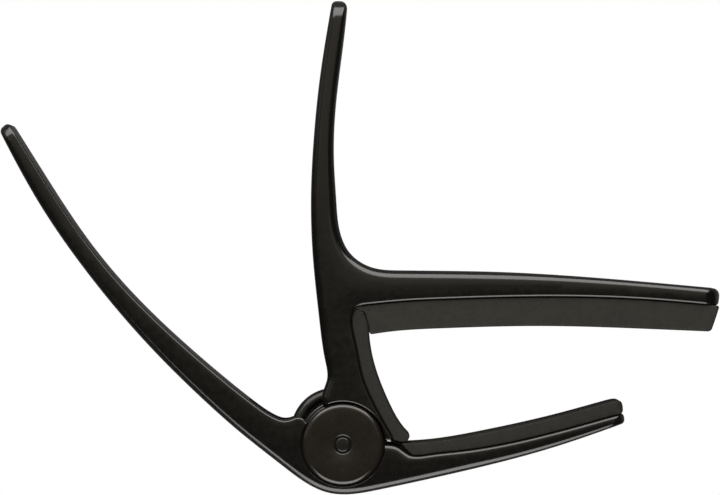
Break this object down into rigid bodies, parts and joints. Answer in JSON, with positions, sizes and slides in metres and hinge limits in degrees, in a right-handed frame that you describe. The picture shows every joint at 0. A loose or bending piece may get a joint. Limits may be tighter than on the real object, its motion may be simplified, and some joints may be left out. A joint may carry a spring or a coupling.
{
  "type": "guitar capo",
  "caption": "Spring-loaded trigger-style guitar capo: two black castings on one pivot, with padded jaws that clamp a neck and handles that are squeezed to open them.",
  "frame": {"origin": "on the pivot's axis, at the rear hub cap's outer face, which the capo rests on when it lies on its side", "axes": "+Z along the pivot, from the rear hub cap to the front one; +X from the hub towards the jaws' open end; +Y from the lower jaw towards the upper handle"},
  "size_m": [0.1143, 0.0785, 0.0146],
  "materials": {
    "black_enamel": "satin black",
    "pad_rubber": "matte dark grey",
    "blackened_steel": "oiled black",
    "bearing_nylon": "natural"
  },
  "bodies": {
    "frame": {"frame_casting": "black_enamel", "string_pad": "pad_rubber", "spine_pad": "pad_rubber", "pivot_pin": "blackened_steel", "spring_sleeve": "bearing_nylon", "bush_front": "bearing_nylon", "bush_rear": "bearing_nylon", "hub_cap_front": "black_enamel", "hub_cap_rear": "black_enamel", "torsion_spring": "blackened_steel"},
    "lever": {"lever_casting": "black_enamel", "neck_pad": "pad_rubber"}
  },
  "joints": [
    {"name": "lever_pivot", "type": "hinge", "parent": "frame", "child": "lever", "pos_m": [0, 0, 0.0073], "axis": [0, 0, -1], "range_deg": [0, 28], "stiffness_Nm_per_rad": 1.2, "springref_deg": -20.05, "deforming": ["torsion_spring"]}
  ]
}
